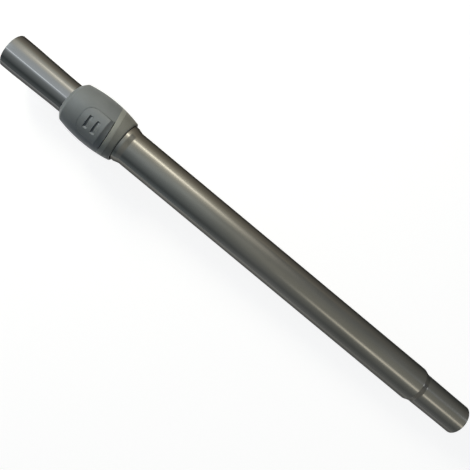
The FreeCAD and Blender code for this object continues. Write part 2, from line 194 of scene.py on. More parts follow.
def add_node(tree, kind, *values, **named):
    """A shader node with its inputs fed in their order, or by name with underscores for spaces."""
    node = tree.nodes.new("ShaderNode" + kind)
    for socket, value in zip(node.inputs, values):
        feed(tree, socket, value)
    for name, value in named.items():
        feed(tree, node.inputs[name.replace("_", " ")], value)
    return node


def reckon(tree, operation, *terms):
    """What an operation makes of numbers and outputs."""
    node = add_node(tree, "Math")
    node.operation = operation
    for socket, term in zip(node.inputs, terms):
        feed(tree, socket, term)
    return node.outputs[0]


def soft_step(tree, value, low, high, below=0.0, above=1.0):
    """One number below a range, another above it, and a soft step between them."""
    step = add_node(tree, "MapRange", Value=value, From_Min=low, From_Max=high, To_Min=below, To_Max=above)
    step.interpolation_type = "SMOOTHSTEP"
    return step.outputs["Result"]


def grain(tree, scale, detail, roughness=0.6):
    """A noise over the piece, with its own scale along each axis."""
    place = add_node(tree, "TexCoord").outputs["Object"]
    stretched = add_node(tree, "Mapping", Vector=place, Scale=scale).outputs["Vector"]
    noise = add_node(tree, "TexNoise", Vector=stretched, Scale=1.0, Detail=detail, Roughness=roughness)
    return noise.outputs["Fac"]


def spread(tree, pattern, low, high):
    """Spreads the middle of a pattern's values between two numbers."""
    dark, light = 0.35, 0.65
    ramp = add_node(tree, "MapRange", Value=pattern, From_Min=dark, From_Max=light, To_Min=low, To_Max=high)
    return ramp.outputs["Result"]


def tint(tree, shader, pattern, dark, light):
    """Colours a shader between two tones by a pattern."""
    tones = add_node(tree, "ValToRGB", Fac=pattern)
    for element, position, tone in zip(tones.color_ramp.elements, (0.3, 0.7), (dark, light)):
        element.position = position
        element.color = (*tone, 1)
    feed(tree, shader.inputs["Base Color"], tones.outputs["Color"])


def relief(tree, shader, pattern, depth, strength):
    """Raises a pattern in the shader's normal."""
    bump = add_node(tree, "Bump", Strength=strength, Distance=depth, Height=pattern)
    feed(tree, shader.inputs["Normal"], bump.outputs["Normal"])


def new_material(name):
    """A material, its node tree and its principled shader."""
    material = bpy.data.materials.new(name)
    material.use_nodes = True
    return material, material.node_tree, material.node_tree.nodes["Principled BSDF"]


INNER_WALL = "inner_wall"


def tube_metal(name, dark, light, gloss, scuffs):
    """Drawn, plated steel: streaks along the tube, cloudy handling marks, scuffs and dull inner walls."""
    material, tree, shader = new_material(name)
    shader.inputs["Metallic"].default_value = 1.0
    shader.inputs["Specular Tint"].default_value = (0.3, 0.3, 0.3, 1)
    tint(tree, shader, grain(tree, (9, 60, 60), 3.0), dark, light)
    streaks = grain(tree, (5, 1500, 1500), 3.0)
    relief(tree, shader, streaks, 0.00002, 0.25)
    clouds = spread(tree, grain(tree, (30, 45, 45), 5.0), gloss, gloss + scuffs)
    dulled = reckon(tree, "ADD", clouds, spread(tree, streaks, -0.02, 0.03))
    wall = add_node(tree, "Attribute")
    wall.attribute_name = INNER_WALL
    wall_dullness = 0.3
    rough = reckon(tree, "MULTIPLY_ADD", wall.outputs["Fac"], wall_dullness, dulled)
    feed(tree, shader.inputs["Roughness"], rough)
    return material


def moulded(name, dark, light, gloss, pit, shine=0.3):
    """Moulded plastic: fine spark-eroded grain, faint cloudiness and a dull sheen."""
    material, tree, shader = new_material(name)
    shader.inputs["Specular IOR Level"].default_value = shine
    tint(tree, shader, grain(tree, (70, 70, 70), 4.0), dark, light)
    relief(tree, shader, grain(tree, (2600, 2600, 2600), 2.0), pit, 0.35)
    cloudiness = 0.1
    dull = spread(tree, grain(tree, (160, 160, 160), 3.0), gloss, gloss + cloudiness)
    feed(tree, shader.inputs["Roughness"], dull)
    return material


def felted(name, dark, light):
    """Pressed felt: tangled fibres over a soft, rough face."""
    material, tree, shader = new_material(name)
    fibres = grain(tree, (900, 2500, 2500), 6.0, 0.8)
    tint(tree, shader, fibres, dark, light)
    relief(tree, shader, fibres, 0.0003, 0.8)
    shader.inputs["Roughness"].default_value = 0.95
    shader.inputs["Sheen Weight"].default_value = 0.4
    return material


OUTER_STEEL = tube_metal("drawn_outer_tube_steel", (0.154, 0.152, 0.14), (0.184, 0.182, 0.172), 0.17, 0.06)
INNER_STEEL = tube_metal("polished_inner_tube_steel", (0.158, 0.16, 0.159), (0.183, 0.186, 0.185), 0.08, 0.04)
PLAIN_STEEL = tube_metal("plain_pin_steel", (0.38, 0.38, 0.37), (0.46, 0.46, 0.45), 0.3, 0.1)
SHELL_GREY = moulded("collar_shell_grey", (0.176, 0.192, 0.204), (0.201, 0.219, 0.232), 0.42, 0.00005)
RING_GREY = moulded("rear_ring_grey", (0.205, 0.207, 0.19), (0.235, 0.237, 0.218), 0.44, 0.00005)
BAND_GREY = moulded("trim_band_grey", (0.338, 0.345, 0.32), (0.376, 0.384, 0.358), 0.4, 0.00004)
BUTTON_GREY = moulded("button_grey", (0.176, 0.191, 0.201), (0.2, 0.217, 0.228), 0.33, 0.00005, 0.5)
SLEEVE_PLASTIC = moulded("sleeve_plastic", (0.05, 0.05, 0.052), (0.07, 0.07, 0.072), 0.45, 0.00004)
SEAL_RUBBER = moulded("seal_rubber", (0.018, 0.018, 0.019), (0.03, 0.03, 0.032), 0.7, 0.0001)
WIPER_FELT = felted("wiper_felt", (0.08, 0.08, 0.085), (0.16, 0.16, 0.165))


def mark_inner_wall(mesh):
    """Marks the points of a tube whose surface faces the axis."""
    count = len(mesh.vertices)
    points, normals = np.empty(3 * count), np.empty(3 * count)
    mesh.vertices.foreach_get("co", points)
    mesh.vertex_normals.foreach_get("vector", normals)
    outwards = (points * normals).reshape(-1, 3)[:, 1:].sum(axis=1)
    mark = mesh.attributes.new(INNER_WALL, "FLOAT", "POINT")
    mark.data.foreach_set("value", (outwards < 0).astype(float))


def dress(piece, material, body, slot, *nodes):
    """Gives a piece its material and body, and hides the CAD nodes that it stands for; slot is not used."""
    piece.data.materials.clear()
    piece.data.materials.append(material)
    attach(piece, body)
    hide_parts(*nodes)


# Tubes


def with_wall(outside):
    """A tube's closed section: along its outside corners, and back along the inside."""
    return outside + [(x, r - WALL, rounding) for x, r, rounding in reversed(outside)]


def make_outer_tube():
    """Spigot, straight run and flared mouth, with rolled ends and even walls."""
    taper_bend = 40.0
    outside = [
        (0.0, SPIGOT_RADIUS, LIP),
        (SPIGOT_LAND, SPIGOT_RADIUS, taper_bend),
        (SPIGOT_END, SPIGOT_ROOT, BEND),
        (TUBE_START, OUTER_RADIUS, BEND),
        (FLARE_START, OUTER_RADIUS, BEND),
        (MOUTH_START, MOUTH_RADIUS, BEND),
        (MOUTH_END, MOUTH_RADIUS, LIP),
    ]
    section = rounded(with_wall(outside), 10)
    piece = add_piece(skin("outer_tube_drawn", turned(section, full_turn(TUBE_COLUMNS))))
    mark_inner_wall(piece.data)
    dress(piece, OUTER_STEEL, "outer", "outer_steel", "outer_tube")


def notch_row_tree():
    """Presses a row of flat notches into the top of a tube, walls and all."""
    tree = bpy.data.node_groups.new("pressed_notch_row", "GeometryNodeTree")
    tree.is_modifier = True
    face = tree.interface
    face.new_socket("Tube", in_out="INPUT", socket_type="NodeSocketGeometry")
    for name in ("First", "Pitch", "Last Step", "Half Length", "Half Width", "Floor", "Radius", "Softness"):
        face.new_socket(name, in_out="INPUT", socket_type="NodeSocketFloat")
    face.new_socket("Finish", in_out="INPUT", socket_type="NodeSocketMaterial")
    face.new_socket("Tube", in_out="OUTPUT", socket_type="NodeSocketGeometry")
    nodes, links = tree.nodes, tree.links
    given = nodes.new("NodeGroupInput").outputs

    def number(operation, *terms):
        return reckon(tree, operation, *terms)

    def inside(distance, half):
        """1 within a half width and 0 beyond it, with a soft edge."""
        low = number("SUBTRACT", half, given["Softness"])
        high = number("ADD", half, given["Softness"])
        return soft_step(tree, distance, low, high, 1.0, 0.0)

    position = nodes.new("GeometryNodeInputPosition").outputs[0]
    x, y, z = add_node(tree, "SeparateXYZ", position).outputs
    step = number("ROUND", number("DIVIDE", number("SUBTRACT", given["First"], x), given["Pitch"]))
    step = number("MINIMUM", number("MAXIMUM", step, 0.0), given["Last Step"])
    middle = number("SUBTRACT", given["First"], number("MULTIPLY", step, given["Pitch"]))
    along = number("ABSOLUTE", number("SUBTRACT", x, middle))
    across = number("ABSOLUTE", y)
    above = number("GREATER_THAN", z, 0.0)
    pressed = number("MULTIPLY", inside(along, given["Half Length"]), inside(across, given["Half Width"]))
    pressed = number("MULTIPLY", pressed, above)
    radius = number("SQRT", number("ADD", number("MULTIPLY", y, y), number("MULTIPLY", z, z)))
    floor = number("SUBTRACT", given["Floor"], number("SUBTRACT", given["Radius"], radius))
    sink = number("MULTIPLY", number("SUBTRACT", floor, z), pressed)
    press = nodes.new("GeometryNodeSetPosition")
    links.new(given["Tube"], press.inputs["Geometry"])
    links.new(add_node(tree, "CombineXYZ", Z=sink).outputs[0], press.inputs["Offset"])
    realize = nodes.new("GeometryNodeRealizeInstances")
    links.new(press.outputs[0], realize.inputs[0])
    finish = nodes.new("GeometryNodeSetMaterial")
    links.new(realize.outputs[0], finish.inputs["Geometry"])
    links.new(given["Finish"], finish.inputs["Material"])
    links.new(finish.outputs[0], nodes.new("NodeGroupOutput").inputs[0])
    return tree


def around_tube():
    """Angles about the inner tube, close together over the notches and the key groove."""
    notch_edge, groove_edge = 18, 172
    over_notch = np.radians(np.linspace(-notch_edge, notch_edge, 49))
    over_groove = np.radians(np.linspace(groove_edge, 360 - groove_edge, 33))
    side = np.radians(np.linspace(notch_edge, groove_edge, 56))[1:-1]
    return np.concatenate([over_notch, side, over_groove, 2 * math.pi - side[::-1]])


def inner_section():
    """The inner tube's section, with extra points at the notches and at the key groove's end."""
    cone_bend, long_run = 60.0, 300
    outside = [
        (INNER_START, INNER_RADIUS, LIP),
        (CONE_START, INNER_RADIUS, cone_bend),
        (LAND_START, SOCKET_RADIUS, cone_bend),
        (SOCKET_END, SOCKET_RADIUS, LIP),
    ]
    section = rounded(with_wall(outside), 8)
    edge = np.array([0.0, 0.18, 0.36, 0.6])
    notch = np.concatenate([NOTCH_LENGTH / 2 - edge, NOTCH_LENGTH / 2 + edge[1:]])
    notch = np.concatenate([-np.sort(notch)[::-1], [0.0], np.sort(notch)])
    rows = np.concatenate([NOTCH_FIRST - NOTCH_PITCH * step + notch for step in range(NOTCH_COUNT)])
    run = np.sort(np.concatenate([rows, GROOVE_END + np.array([-1.2, -0.8, -0.4, 0.0, 0.4])]))
    split = np.argmax(np.diff(section[:, 0]) > long_run)
    back = np.argmax(np.diff(section[:, 0]) < -long_run)
    outer_run = np.stack([run, np.full_like(run, INNER_RADIUS)], axis=-1)
    inner_run = np.stack([run[::-1], np.full_like(run, INNER_RADIUS - WALL)], axis=-1)
    return np.concatenate([
        section[:split + 1], outer_run, section[split + 1:back + 1], inner_run, section[back + 1:],
    ])


def sink_key_groove(grid, section):
    """Sinks the key groove into the underside of the inner tube's grid of points."""
    reach = np.clip((GROOVE_END - grid[..., 0]) / GROOVE_RUN_OUT + 0.5, 0, 1)
    from_wall = GROOVE_WIDTH / 2 + GROOVE_SOFTNESS - np.abs(grid[..., 1])
    across = np.clip(from_wall / (2 * GROOVE_SOFTNESS), 0, 1)
    below = (grid[..., 2] < 0) & (section[:, 0, None] < GROOVE_END + 1)
    sunk = reach * across * across * (3 - 2 * across) * below
    floor = GROOVE_DEPTH - section[:, 1, None]
    grid[..., 2] += sunk * (floor - grid[..., 2])


def make_inner_tube():
    """Sliding tube with a flared socket, a row of pressed notches and a key groove."""
    section = inner_section()
    grid = turned(section, around_tube())
    sink_key_groove(grid, section)
    piece = add_piece(skin("inner_tube_drawn", grid))
    row = piece.modifiers.new("notch_row", "NODES")
    row.node_group = notch_row_tree()
    inputs = {
        "First": NOTCH_FIRST * MM,
        "Pitch": NOTCH_PITCH * MM,
        "Last Step": float(NOTCH_COUNT - 1),
        "Half Length": NOTCH_LENGTH / 2 * MM,
        "Half Width": NOTCH_WIDTH / 2 * MM,
        "Floor": (INNER_RADIUS - NOTCH_DEPTH) * MM,
        "Radius": INNER_RADIUS * MM,
        "Softness": NOTCH_SOFTNESS * MM,
        "Finish": INNER_STEEL,
    }
    for socket in row.node_group.interface.items_tree:
        if socket.name in inputs:
            row[socket.identifier] = inputs[socket.name]
    plain_mesh(piece)
    mark_inner_wall(piece.data)
    dress(piece, INNER_STEEL, "inner", "inner_steel", "inner_tube")


# Collar


def seam_place(shift, radius, angle):
    """Where the oblique plane at a shift meets a radius, at an angle about the axis."""
    return shift - SEAM_SLOPE * radius * np.cos(angle - SEAM_TURN)


def seam_on_barrel(shift, angle):
    """Where the oblique plane meets the barrel's skin."""
    place = np.full_like(angle, shift)
    for _ in range(20):
        place = seam_place(shift, barrel(place), angle)
    return place


def edge_rows(edge, rounding, away, turns):
    """Rows over the barrel's rounded edge; away is 1 or -1, the way from the edge along the skin."""
    rows = []
    for turn in np.radians(turns):
        place = edge + away * rounding * (1 - math.cos(turn))
        rows.append((place, barrel(place) - rounding * (1 - math.sin(turn))))
    return rows


def seam_rows(shift, angle, away):
    """Rows over the edge where a seam meets the skin, from the cut face to the skin."""
    return edge_rows(seam_on_barrel(shift, angle), SEAM_EDGE, away, np.linspace(0, 90, 5))


def wrap(name, rows, angle):
    """A closed mesh from rows of (place, radius) about the axis."""
    return skin(name, np.stack([on_axis(place, radius, angle) for place, radius in rows]))


def between(start, end, count):
    """Rows on the barrel's skin strictly between two places."""
    places = [start + (end - start) * step / (count + 1) for step in range(1, count + 1)]
    return [(place, barrel(place)) for place in places]


def tongue_end(radius, angle):
    """Where the rear ring's tongue ends: under the shell, but short of the button's pad."""
    under_pad = (np.abs(radius * np.sin(angle)) < PAD_HALF + PAD_GAP) & (np.cos(angle) > 0)
    place = seam_place(TONGUE_END, radius, angle)
    return np.where(under_pad, np.minimum(place, PAD_START), place)


def make_rear_ring():
    """Ring at the collar's rear with a rounded back edge, an undercut and the tongue for the band."""
    angle = full_turn(COLLAR_COLUMNS)
    back, bevel, lip_inset, lip_height = 1.0, 0.2, 0.15, 0.1
    rows = [
        (COLLAR_START + lip_inset, UNDERCUT_RADIUS - lip_height),
        (UNDERCUT_END, COLLAR_BORE),
        (tongue_end(COLLAR_BORE, angle), COLLAR_BORE),
        (tongue_end(TONGUE_RADIUS - bevel, angle), TONGUE_RADIUS - bevel),
        (tongue_end(TONGUE_RADIUS, angle) - bevel, TONGUE_RADIUS),
        (seam_place(SEAM_REAR, TONGUE_RADIUS, angle), TONGUE_RADIUS),
    ]
    rows += seam_rows(SEAM_REAR, angle, -1)
    rows += between(rows[-1][0], COLLAR_START + back, 10)
    rows += edge_rows(COLLAR_START, back, 1, np.linspace(90, 0, 8))
    piece = add_piece(wrap("rear_ring_moulded", rows, angle))
    dress(piece, RING_GREY, "outer", "ring_grey", "rear_ring")


def make_trim_band():
    """Light band along the oblique seam, with softly broken edges and an undercut for the button's pad."""
    angle = full_turn(COLLAR_COLUMNS)
    undercut = 1.0
    rear = seam_rows(SEAM_REAR, angle, 1)
    front = seam_rows(SEAM_FRONT, angle, -1)
    rows = [(seam_place(SEAM_REAR, CAVITY_RADIUS, angle), CAVITY_RADIUS)]
    rows += rear
    rows += between(rear[-1][0], front[-1][0], 5)
    rows += front[::-1]
    rows.append((seam_place(SEAM_FRONT, CAVITY_RADIUS, angle) - undercut, CAVITY_RADIUS))
    piece = add_piece(wrap("trim_band_moulded", rows, angle))
    dress(piece, BAND_GREY, "outer", "band_grey", "trim_band")


def shell_edge():
    """The shell's rear edge on the barrel's skin, round the seam and the button's window.

    Returns places, angles and, where the window cuts it, half widths (otherwise not a number).
    """
    side = PAD_HALF + PAD_GAP
    front = PAD_END + PAD_GAP
    corner = PAD_CORNER + PAD_GAP
    blunt = 0.7
    side_count, seam_count = 34, 96
    bend = np.radians(np.linspace(0, 90, 30))[1:]
    straight = np.linspace(side - corner, 0, 8)[1:]
    across = np.concatenate([np.full(side_count, side), side - corner + corner * np.cos(bend), straight])
    halves = []
    for hand in (1, -1):
        meet = math.radians(40.0)
        for _ in range(30):
            meet = math.asin(side / barrel(seam_on_barrel(SEAM_FRONT, np.array([hand * meet]))[0]))
        meeting = seam_on_barrel(SEAM_FRONT, np.array([hand * meet]))[0]
        along_side = np.linspace(meeting + blunt, front - corner, side_count)
        round_corner = front - corner + corner * np.sin(bend)
        place = np.concatenate([along_side, round_corner, np.full_like(straight, front)])
        round_seam = np.linspace(math.pi, meet + blunt / barrel(meeting), seam_count)
        seam = seam_on_barrel(SEAM_FRONT, hand * round_seam)
        halves.append(np.stack([
            np.concatenate([seam, place]),
            hand * np.concatenate([round_seam, np.arcsin(across / barrel(place))]),
            hand * np.concatenate([np.full_like(seam, np.nan), across]),
        ]))
    return np.concatenate([halves[0], halves[1][:, -2:0:-1]], axis=1)


def nose_rows(lean, angle):
    """Rows over the collar's rounded nose and lip and back to its cavity; lean moves the nose along."""
    foot = np.array((NOSE_START, barrel(NOSE_START)))
    tip = np.array((COLLAR_END, NOSE_RADIUS))
    chord = tip - foot
    half_chord = np.linalg.norm(chord) / 2
    chord /= 2 * half_chord
    sunk = math.sqrt(NOSE_ARC ** 2 - half_chord ** 2)
    centre = (foot + tip) / 2 - np.array((-chord[1], chord[0])) * sunk
    first = math.atan2(*(foot - centre)[::-1])
    last = math.atan2(*(tip - centre)[::-1])
    lip = 0.35
    rows = []
    for swing in np.linspace(first, last, 12)[1:-1]:
        place = lean + centre[0] + NOSE_ARC * math.cos(swing)
        rows.append((place, centre[1] + NOSE_ARC * math.sin(swing), angle))
    for turn in np.radians(np.linspace(60, 0, 4)):
        place = lean + COLLAR_END - lip + lip * math.sin(turn)
        rows.append((place, NOSE_RADIUS + lip * (1 - math.cos(turn)), angle))
    inside = (
        (LIP_START, NOSE_RADIUS),
        (LIP_START, SEAT_RADIUS),
        (SEAT_START, SEAT_RADIUS),
        (CAVITY_END, CAVITY_RADIUS),
    )
    return rows + [(place, radius, angle) for place, radius in inside]


def make_collar_shell():
    """Hollow barrel with a rounded nose; its rear edge follows the seam and the button's window."""
    place, angle, across = shell_edge()
    on_seam = np.isnan(across)
    across = np.nan_to_num(across)
    arc = barrel(place) * angle
    back_jump = 50
    step_x = np.roll(place, -1) - np.roll(place, 1)
    turn_back = 2 * math.pi * barrel(place)
    step_s = np.roll(arc, -1) - np.roll(arc, 1)
    step_s = np.where(np.abs(step_s) > back_jump, step_s - np.sign(step_s) * turn_back, step_s)
    length = np.hypot(step_x, step_s)
    into_x, into_s = -step_s / length, step_x / length
    seam_count = (np.count_nonzero(on_seam) + 1) // 2
    half = len(place) // 2 + 1
    nose_open = math.radians(64)
    nose_half = np.concatenate([
        np.linspace(math.pi, nose_open, seam_count, endpoint=False),
        np.linspace(nose_open, 0, half - seam_count),
    ])
    nose_angle = np.concatenate([nose_half, -nose_half[-2:0:-1]])
    rows = []
    rounding = 0.2
    for turn in np.radians(np.linspace(0, 90, 6)):
        lateral = rounding * (1 - math.cos(turn))
        where = place + into_x * lateral
        radius = barrel(where) - rounding * (1 - math.sin(turn))
        upright = np.where(on_seam, angle, np.arcsin(across / radius))
        rows.append((where, radius, upright + into_s * lateral / radius))
    start_place, _, start_angle = rows[-1]
    lean = NOSE_REACH + NOSE_LEAN * np.sin(nose_angle)
    for share in [0.012, 0.03, 0.06, *np.linspace(0.1, 1.0, 40)]:
        where = start_place + (NOSE_START - start_place) * share
        rows.append((where + lean * share, barrel(where), start_angle + (nose_angle - start_angle) * share))
    rows += nose_rows(lean, nose_angle)
    turn = np.abs(angle)
    first_turn = np.where(angle > 0, turn[on_seam & (angle > 0)].min(), turn[on_seam & (angle < 0)].min())
    clear_turn = math.asin((PAD_HALF + PAD_GAP) / CAVITY_RADIUS)
    spread_turn = clear_turn + (turn - first_turn) / (math.pi - first_turn) * (math.pi - clear_turn)
    seam_angle = np.sign(angle) * spread_turn
    wall_angle = np.where(on_seam, seam_angle, np.arcsin(across / CAVITY_RADIUS))
    wall_place = np.where(on_seam, seam_place(SEAM_FRONT, CAVITY_RADIUS, seam_angle), place)
    for share in np.linspace(0.1, 1.0, 10):
        where = CAVITY_END + (wall_place - CAVITY_END) * share
        rows.append((where, CAVITY_RADIUS, nose_angle + (wall_angle - nose_angle) * share))
    piece = add_piece(skin("collar_shell_moulded", np.stack([on_axis(*row) for row in rows])))
    dress(piece, SHELL_GREY, "outer", "collar_grey", "collar_shell")


# Button


def pad_top(place):
    """The pad's top radius: a long fall from the rounded crest to the front, and a hollow one to the rear."""
    drop = (PAD_FRONT_RADIUS - PAD_CREST_RADIUS) * (place - PAD_CREST) / (PAD_END - PAD_CREST)
    fall = PAD_CREST_RADIUS + drop
    steep = PAD_CREST_RADIUS - PAD_HOLLOW * (1 - np.exp((place - PAD_CREST) / PAD_HOLLOW_REACH))
    softness = 0.9
    blend = np.clip(0.5 + (steep - fall) / (2 * softness), 0, 1)
    return steep + (fall - steep) * blend - softness * blend * (1 - blend)


def pad_rear(across, radius_at):
    """Where the pad ends along the band, on the top or on the underside."""
    place = np.full_like(across, PAD_START)
    for _ in range(20):
        upright = np.sqrt(radius_at(place) ** 2 - across ** 2)
        place = PAD_REAR - SEAM_SLOPE * (upright * math.cos(SEAM_TURN) + across * math.sin(SEAM_TURN))
    return place


def inside_pad(place, across):
    """Distance from a point to the pad's outline, positive inside."""
    from_front = PAD_END - place
    from_side = PAD_HALF - np.abs(across)
    from_rear = place - pad_rear(across, pad_top)
    corner_x, corner_y = PAD_CORNER - from_front, PAD_CORNER - from_side
    round_corner = PAD_CORNER - np.hypot(np.maximum(corner_x, 0), np.maximum(corner_y, 0))
    in_corner = (corner_x > 0) & (corner_y > 0)
    return np.minimum(np.where(in_corner, round_corner, np.minimum(from_front, from_side)), from_rear)


def slot_sink(place, arc):
    """How deep the two grip slots are at a point of the pad's top.

    Their floors rise towards the band, one end is steep and the other scooped out.
    """
    depth = np.zeros_like(place)
    half_arc = math.radians(SLOT_HALF_ANGLE) * PAD_CREST_RADIUS
    corner, wall, steep, scoop, shallow, bow = 1.5, 0.3, 0.6, 2.1, 0.3, 0.6
    scooped = np.clip((half_arc + wall / 2 - np.abs(arc)) / np.where(arc > 0, scoop, steep), 0, 1)
    for middle in SLOT_PLACES:
        x = np.abs(place - middle) - SLOT_LENGTH / 2 + corner
        s = np.abs(arc) - half_arc + corner
        outside = np.hypot(np.maximum(x, 0), np.maximum(s, 0)) + np.minimum(np.maximum(x, s), 0) - corner
        share = np.clip(0.5 - outside / wall, 0, 1)
        ramp = np.clip(0.5 + (place - middle) / SLOT_LENGTH, shallow, 1) ** bow
        depth = np.maximum(depth, SLOT_DEPTH * ramp * scooped * share * share * (3 - 2 * share))
    return depth


PAD_MIDDLE_REAR = float(pad_rear(np.zeros(1), pad_top)[0])


def pad_rows():
    """Places of the pad's rows along its middle, close together at the slots' walls and the edges."""
    plain_start, plain_step, least_step = 1.2, 0.5, 0.02
    walls = [middle + side * SLOT_LENGTH / 2 for middle in SLOT_PLACES for side in (-1, 1)]
    close = [wall + offset for wall in walls for offset in np.linspace(-0.36, 0.36, 7)]
    rear = PAD_MIDDLE_REAR + np.array([0.0, 0.05, 0.12, 0.22, 0.36, 0.55, 0.8])
    bend = np.radians(np.linspace(0, 90, 40))
    front = PAD_END - PAD_CORNER + PAD_CORNER * np.sin(bend)
    plain = np.arange(PAD_MIDDLE_REAR + plain_start, PAD_END - PAD_CORNER, plain_step)
    places = np.sort(np.concatenate([close, rear, front, plain]))
    return places[np.concatenate([[True], np.diff(places) > least_step])]


def make_pad():
    """Thumb pad as a closed mesh: top with slots and rounded edges, side wall and curved underside."""
    places = pad_rows()
    in_bend = np.clip((places - PAD_END + PAD_CORNER) / PAD_CORNER, 0, 1)
    half = PAD_HALF - PAD_CORNER + PAD_CORNER * np.sqrt(np.maximum(1 - in_bend ** 2, 0))
    half = np.minimum(half, PAD_HALF)
    near = 1 - np.array([0.0, 0.003, 0.008, 0.015, 0.025, 0.038, 0.055, 0.075])
    slot_edge = math.radians(SLOT_HALF_ANGLE) * PAD_CREST_RADIUS / PAD_HALF
    shares = np.concatenate([np.arange(0.0, 0.9, 0.025), slot_edge + np.linspace(-0.16, 0.03, 20), near])
    shares = np.unique(np.round(shares, 4))
    shares = np.concatenate([-shares[:0:-1], shares])
    across = half[:, None] * shares[None, :]
    bevel = np.clip((PAD_CREST - places) / (PAD_CREST - PAD_MIDDLE_REAR), 0, 1)[:, None]
    place = places[:, None] + bevel * (pad_rear(across, pad_top) - PAD_MIDDLE_REAR)
    under_place = places[:, None] + bevel * (pad_rear(across, lambda place: PAD_UNDER) - PAD_MIDDLE_REAR)
    edge = 0.25
    inside = np.clip(inside_pad(place, across), 0, edge)
    drop = edge - np.sqrt(edge ** 2 - (edge - inside) ** 2)
    radius = pad_top(place)
    arc = radius * np.arcsin(across / radius)
    radius = radius - slot_sink(place, arc)
    top = np.stack([place, across, np.sqrt(radius ** 2 - across ** 2) - drop], axis=-1)
    under = np.stack([under_place, across, np.sqrt(PAD_UNDER ** 2 - across ** 2)], axis=-1)
    rows, columns, _ = top.shape
    count = rows * columns
    index = np.arange(count).reshape(rows, columns)
    faces = []
    for layer in (index, index + count):
        corners = [layer[:-1, :-1], layer[1:, :-1], layer[1:, 1:], layer[:-1, 1:]]
        faces += np.stack(corners, axis=-1).reshape(-1, 4).tolist()
    rim = np.concatenate([index[0], index[1:, -1], index[-1, -2::-1], index[-2:0:-1, 0]])
    after = np.roll(rim, -1)
    faces += np.stack([rim, after, after + count, rim + count], axis=-1).tolist()
    return closed_mesh("button_pad", np.concatenate([top, under]).reshape(-1, 3), faces)


def prism(name, near, far):
    """A piece between two outlines with as many points."""
    count = len(near)
    faces = [tuple(range(count)), tuple(range(2 * count - 1, count - 1, -1))]
    faces += [(i, (i + 1) % count, count + (i + 1) % count, count + i) for i in range(count)]
    return add_piece(closed_mesh(name, np.array(near + far), faces))


def plate(name, outline, half_width):
    """A plate of an upright (x, z) outline, evenly on both sides of the middle plane."""
    return prism(name, *([(x, y, z) for x, z in outline] for y in (-half_width, half_width)))


def combine(piece, tool, operation):
    """Adds or cuts a tool piece, which then goes away."""
    step = piece.modifiers.new("combine", "BOOLEAN")
    step.operation = operation
    step.solver = "EXACT"
    step.object = tool
    plain_mesh(piece)
    bpy.data.objects.remove(tool)


def make_latch_button():
    """Thumb pad over the lever, hub and spring boss, in one moulding."""
    hub, bore, half_lever, joint = 2.1, 1.2, 4.8, 0.02
    lever_under, lever_top, lever_end, lever_foot = 17.4, 19.4, 481.8, 0.6
    under_pad = PAD_UNDER + joint
    outline = [
        (PIVOT_PLACE - hub, under_pad),
        *arc_points(PIVOT_PLACE, PIVOT_HEIGHT, hub, np.radians(np.linspace(180, 270, 10))),
        (PIVOT_PLACE + lever_foot, lever_under),
        (lever_end, lever_under),
        (lever_end, lever_top),
        (PIVOT_PLACE + hub, lever_top),
        (PIVOT_PLACE + hub, under_pad),
    ]
    piece = plate("latch_button_moulded", outline, half_lever)
    hub_bore = arc_points(PIVOT_PLACE, PIVOT_HEIGHT, bore, full_turn(32))
    combine(piece, plate("hub_bore", hub_bore, 2 * half_lever), "DIFFERENCE")
    pawl_half_length, pawl_half_width, beyond = 1.9, 3.2, 2
    rear, front = NOTCH_FIRST - pawl_half_length, NOTCH_FIRST + pawl_half_length
    low, high = lever_under - beyond, lever_top + beyond
    pawl_slot = [(rear, low), (front, low), (front, high), (rear, high)]
    combine(piece, plate("pawl_slot", pawl_slot, pawl_half_width), "DIFFERENCE")
    pad = add_piece(make_pad())
    ring = arc_points(COIL_PLACE, 0, COIL_RADIUS + COIL_WIRE, full_turn(40))
    boss = prism("spring_boss", *([(x, y, z) for x, y in ring] for z in (COIL_TOP, under_pad)))
    combine(pad, boss, "UNION")
    combine(piece, pad, "UNION")
    piece.data.shade_smooth()
    piece.data.set_sharp_from_angle(angle=math.radians(40))
    dress(piece, BUTTON_GREY, "button", "button_grey", "latch_button")


def make_return_spring():
    """Coil spring between the sleeve's seat and the pad's boss."""
    turns = np.linspace(0, 2 * math.pi * COIL_TURNS, 40 * COIL_TURNS + 1)
    rise = COIL_SEAT + COIL_WIRE / 2 + (COIL_TOP - COIL_SEAT - COIL_WIRE) * turns / turns[-1]
    out = np.stack([np.cos(turns), np.sin(turns), np.zeros_like(turns)], axis=-1)
    line = np.stack([COIL_PLACE + COIL_RADIUS * out[:, 0], COIL_RADIUS * out[:, 1], rise], axis=-1)
    section = full_turn(12)
    up = np.array((0.0, 0.0, 1.0))
    grid = line[:, None, :] + COIL_WIRE / 2 * (
        np.cos(section)[None, :, None] * out[:, None, :] + np.sin(section)[None, :, None] * up)
    rows, columns, _ = grid.shape
    index = np.arange(rows * columns).reshape(rows, columns)
    right = np.roll(index, -1, axis=1)
    faces = np.stack([index[:-1], right[:-1], right[1:], index[1:]], axis=-1).reshape(-1, 4).tolist()
    faces += [index[0].tolist(), index[-1, ::-1].tolist()]
    piece = add_piece(closed_mesh("return_spring_coil", grid.reshape(-1, 3), faces))
    dress(piece, PLAIN_STEEL, "outer", "plain_steel", "return_spring")
    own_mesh(piece)


def dress_hidden_nodes():
    """Materials for the inner pieces that keep their CAD shape."""
    finishes = {
        "guide_sleeve": SLEEVE_PLASTIC,
        "front_bearing": SLEEVE_PLASTIC,
        "end_bush": SLEEVE_PLASTIC,
        "stop_ring": SLEEVE_PLASTIC,
        "seal_ring": SEAL_RUBBER,
        "wiper_ring": WIPER_FELT,
        "pivot_pin": PLAIN_STEEL,
        "latch_pawl": PLAIN_STEEL,
    }
    for node, finish in finishes.items():
        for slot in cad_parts[node].material_slots:
            slot.material = finish


